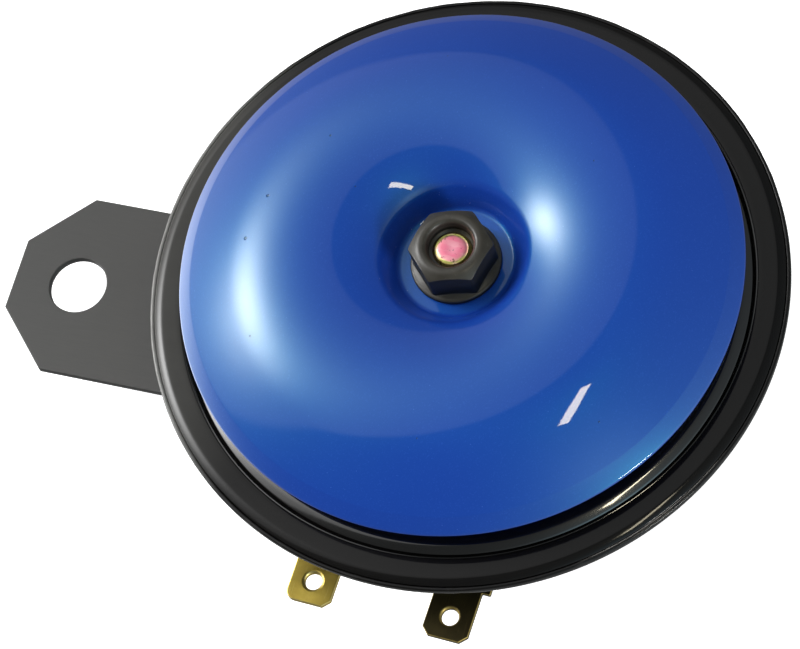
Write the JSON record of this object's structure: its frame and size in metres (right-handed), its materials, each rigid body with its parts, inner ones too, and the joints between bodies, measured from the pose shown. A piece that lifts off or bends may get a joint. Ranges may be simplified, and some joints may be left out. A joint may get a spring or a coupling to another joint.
{
  "type": "car horn",
  "caption": "Electric disc horn with a painted tone disc, blade terminals and a flat steel fixing bracket.",
  "frame": {"origin": "centre of the fixing hole in the bracket, half way through the strip's thickness", "axes": "+Z along the horn's sounding axis, out of the tone disc; +X from the fixing hole towards the horn's axis"},
  "size_m": [0.1161, 0.0869, 0.051],
  "materials": {
    "blue_paint": "deep metallic blue under a clear gloss coat",
    "black_paint": "semi-gloss black enamel",
    "satin_black": "satin dark grey-black coat, slightly rubbed",
    "black_oxide": "oiled black oxide",
    "yellow_zinc": "passivated zinc with a pink and green sheen",
    "zinc_plate": "bright zinc plate",
    "brass_blade": "bright brass, rubbed edges",
    "brass_rivet": "bright brass",
    "fibre": "pressed fibre",
    "bobbin_nylon": "natural nylon",
    "enamelled_wire": "enamelled copper wire",
    "phenolic": "brown phenolic sheet",
    "bronze": "phosphor bronze strip",
    "contact_metal": "hard contact metal"
  },
  "bodies": {
    "root": {"clamp_ring": "black_paint", "diaphragm": "black_paint", "diaphragm_gasket": "fibre", "housing": "black_paint", "pole_core": "yellow_zinc", "coil_bobbin": "bobbin_nylon", "coil_winding": "enamelled_wire", "coil_leads": "enamelled_wire", "breaker_base": "phenolic", "breaker_insulator": "phenolic", "contact_bracket": "zinc_plate", "fixed_contact": "contact_metal", "breaker_rivets": "zinc_plate", "rivet_bushes": "bobbin_nylon", "adjusting_insert": "zinc_plate", "adjusting_screw": "zinc_plate", "lock_nut": "zinc_plate", "terminal_left": "brass_blade", "terminal_right": "brass_blade", "terminal_plate": "phenolic", "inner_plate": "phenolic", "terminal_rivets": "brass_rivet", "bracket": "satin_black", "spring_washer": "black_oxide", "rear_nut": "black_oxide"},
    "armature": {"armature": "yellow_zinc", "diaphragm_washer": "zinc_plate", "disc_spacer": "zinc_plate", "tone_disc": "blue_paint", "tone_disc_nut": "black_oxide"},
    "contact_arm": {"contact_arm": "bronze", "moving_contact": "contact_metal", "arm_pusher": "phenolic"}
  },
  "joints": [
    {"name": "armature_slide", "type": "slide", "parent": "root", "child": "armature", "axis": [0, 0, 1], "range_m": [-0.0006, 0], "stiffness_N_per_m": 10000, "deforming": ["diaphragm"]},
    {"name": "contact_arm_flex", "type": "hinge", "parent": "root", "child": "contact_arm", "pos_m": [0.0775, 0.02613, 0.01925], "axis": [-0.8829, 0.4695, 0], "range_deg": [-1.75, 0]}
  ],
  "couplings": [
    {"joint": "contact_arm_flex", "follows": "armature_slide", "rad_per_m": 50.251}
  ]
}
